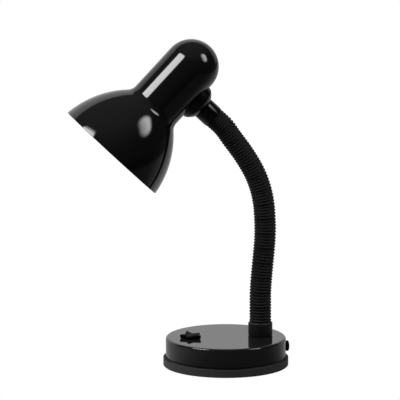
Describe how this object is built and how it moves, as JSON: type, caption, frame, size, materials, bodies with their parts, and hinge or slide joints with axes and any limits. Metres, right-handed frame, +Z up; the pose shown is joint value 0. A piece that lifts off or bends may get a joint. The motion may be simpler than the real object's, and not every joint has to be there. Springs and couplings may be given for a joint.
{
  "type": "desk lamp",
  "caption": "Desk lamp with a bell shade on a ribbed flexible neck that bends and swivels, over a round weighted base with a rotary switch.",
  "frame": {"origin": "centre of the round base on the table, at the underside of the foot ring", "axes": "+Z is up, +X points from the centre of the base to the foot of the neck, and the shade leans towards -X"},
  "size_m": [0.2332, 0.1312, 0.3485],
  "materials": {
    "gloss_black_paint": "gloss",
    "pan_plastic": "satin",
    "ballast_iron": "matte",
    "foot_rubber": "matte",
    "sleeve_plastic": "satin",
    "knob_plastic": "gloss",
    "cuff_plastic": "satin",
    "plated_steel": "satin",
    "contact_brass": "satin",
    "terminal_plastic": "matte",
    "switch_plastic": "matte",
    "lead_sheath": "matte",
    "switch_lead_sheath": "matte",
    "holder_plastic": "gloss",
    "bulb_opal": "satin"
  },
  "bodies": {
    "base": {"base_cover": "gloss_black_paint", "cover_posts": "plated_steel", "bottom_pan": "pan_plastic", "ballast_plate": "ballast_iron", "foot_ring": "foot_rubber", "base_screws": "plated_steel", "cord_gland": "knob_plastic", "terminal_block": "terminal_plastic", "terminal_screws": "contact_brass", "switch_body": "switch_plastic", "switch_nut": "plated_steel", "switch_leads": "switch_lead_sheath", "lower_cuff": "cuff_plastic", "lower_nipple": "plated_steel", "neck_nut": "plated_steel", "neck_washer": "plated_steel", "neck_conduit": "plated_steel", "neck_lead": "lead_sheath", "sleeve_01": "sleeve_plastic"},
    "knob": {"switch_shaft": "contact_brass", "switch_knob": "knob_plastic"},
    "neck_02": {"sleeve_02": "sleeve_plastic"},
    "neck_03": {"sleeve_03": "sleeve_plastic"},
    "neck_04": {"sleeve_04": "sleeve_plastic"},
    "neck_05": {"sleeve_05": "sleeve_plastic"},
    "neck_06": {"sleeve_06": "sleeve_plastic"},
    "neck_07": {"sleeve_07": "sleeve_plastic"},
    "neck_08": {"sleeve_08": "sleeve_plastic"},
    "neck_09": {"sleeve_09": "sleeve_plastic"},
    "neck_10": {"sleeve_10": "sleeve_plastic"},
    "neck_11": {"sleeve_11": "sleeve_plastic"},
    "neck_12": {"sleeve_12": "sleeve_plastic"},
    "neck_13": {"sleeve_13": "sleeve_plastic"},
    "neck_14": {"sleeve_14": "sleeve_plastic"},
    "neck_15": {"sleeve_15": "sleeve_plastic", "upper_cuff": "cuff_plastic", "upper_nipple": "plated_steel", "swivel_nut": "plated_steel", "swivel_washer": "plated_steel"},
    "head": {"swivel_disc": "cuff_plastic", "disc_screws": "plated_steel", "shade": "gloss_black_paint", "saddle_washer": "plated_steel", "holder_strap": "plated_steel", "holder_nipple": "plated_steel", "holder_nuts": "plated_steel", "lamp_holder": "holder_plastic", "thread_shell": "contact_brass", "centre_contact": "contact_brass", "bulb_cap": "plated_steel", "bulb_glass": "bulb_opal", "head_lead": "lead_sheath"}
  },
  "joints": [
    {"name": "switch_turn", "type": "hinge", "parent": "base", "child": "knob", "pos_m": [-0.037, 0, 0.0305], "axis": [0, 0, 1], "continuous": true},
    {"name": "neck_bend", "type": "hinge", "parent": "base", "child": "neck_02", "pos_m": [0.0369, 0, 0.0613], "axis": [0, -1, 0], "range_deg": [-7, 7], "deforming": ["neck_conduit", "neck_lead"]},
    {"name": "neck_side", "type": "hinge", "parent": "neck_02", "child": "neck_03", "pos_m": [0.03698, 0, 0.0771], "axis": [0.9994, 0, -0.0358], "range_deg": [-7, 7], "deforming": ["neck_conduit", "neck_lead"]},
    {"name": "neck_bend_2", "type": "hinge", "parent": "neck_03", "child": "neck_04", "pos_m": [0.03803, 0, 0.09287], "axis": [0, -1, 0], "range_deg": [-7, 7], "deforming": ["neck_conduit", "neck_lead"]},
    {"name": "neck_side_2", "type": "hinge", "parent": "neck_04", "child": "neck_05", "pos_m": [0.03949, 0, 0.1086], "axis": [0.9957, 0, -0.0924], "range_deg": [-7, 7], "deforming": ["neck_conduit", "neck_lead"]},
    {"name": "neck_bend_3", "type": "hinge", "parent": "neck_05", "child": "neck_06", "pos_m": [0.04095, 0, 0.12433], "axis": [0, -1, 0], "range_deg": [-7, 7], "deforming": ["neck_conduit", "neck_lead"]},
    {"name": "neck_side_3", "type": "hinge", "parent": "neck_06", "child": "neck_07", "pos_m": [0.04186, 0, 0.1401], "axis": [0.9998, 0, -0.0183], "range_deg": [-7, 7], "deforming": ["neck_conduit", "neck_lead"]},
    {"name": "neck_bend_4", "type": "hinge", "parent": "neck_07", "child": "neck_08", "pos_m": [0.04153, 0, 0.1559], "axis": [0, -1, 0], "range_deg": [-7, 7], "deforming": ["neck_conduit", "neck_lead"]},
    {"name": "neck_side_4", "type": "hinge", "parent": "neck_08", "child": "neck_09", "pos_m": [0.04023, 0, 0.17165], "axis": [0.9898, 0, 0.1426], "range_deg": [-7, 7], "deforming": ["neck_conduit", "neck_lead"]},
    {"name": "neck_bend_5", "type": "hinge", "parent": "neck_09", "child": "neck_10", "pos_m": [0.03703, 0, 0.18712], "axis": [0, -1, 0], "range_deg": [-7, 7], "deforming": ["neck_conduit", "neck_lead"]},
    {"name": "neck_side_5", "type": "hinge", "parent": "neck_10", "child": "neck_11", "pos_m": [0.0317, 0, 0.20199], "axis": [0.9157, 0, 0.4019], "range_deg": [-7, 7], "deforming": ["neck_conduit", "neck_lead"]},
    {"name": "neck_bend_6", "type": "hinge", "parent": "neck_11", "child": "neck_12", "pos_m": [0.02436, 0, 0.21598], "axis": [0, -1, 0], "range_deg": [-7, 7], "deforming": ["neck_conduit", "neck_lead"]},
    {"name": "neck_side_6", "type": "hinge", "parent": "neck_12", "child": "neck_13", "pos_m": [0.01582, 0, 0.22928], "axis": [0.8246, 0, 0.5657], "range_deg": [-7, 7], "deforming": ["neck_conduit", "neck_lead"]},
    {"name": "neck_bend_7", "type": "hinge", "parent": "neck_13", "child": "neck_14", "pos_m": [0.00649, 0, 0.24203], "axis": [0, -1, 0], "range_deg": [-7, 7], "deforming": ["neck_conduit", "neck_lead"]},
    {"name": "neck_side_7", "type": "hinge", "parent": "neck_14", "child": "neck_15", "pos_m": [-0.00262, 0, 0.25494], "axis": [0.7576, 0, 0.6528], "range_deg": [-7, 7], "deforming": ["neck_conduit", "neck_lead"]},
    {"name": "head_swivel", "type": "hinge", "parent": "neck_15", "child": "head", "pos_m": [-0.05291, 0, 0.303], "axis": [-0.723, 0, 0.6909], "range_deg": [-170, 170], "deforming": ["neck_lead"]}
  ],
  "couplings": [
    {"joint": "neck_bend_2", "follows": "neck_bend", "ratio": 1},
    {"joint": "neck_side_2", "follows": "neck_side", "ratio": 1},
    {"joint": "neck_bend_3", "follows": "neck_bend", "ratio": 1},
    {"joint": "neck_side_3", "follows": "neck_side", "ratio": 1},
    {"joint": "neck_bend_4", "follows": "neck_bend", "ratio": 1},
    {"joint": "neck_side_4", "follows": "neck_side", "ratio": 1},
    {"joint": "neck_bend_5", "follows": "neck_bend", "ratio": 1},
    {"joint": "neck_side_5", "follows": "neck_side", "ratio": 1},
    {"joint": "neck_bend_6", "follows": "neck_bend", "ratio": 1},
    {"joint": "neck_side_6", "follows": "neck_side", "ratio": 1},
    {"joint": "neck_bend_7", "follows": "neck_bend", "ratio": 1},
    {"joint": "neck_side_7", "follows": "neck_side", "ratio": 1}
  ]
}
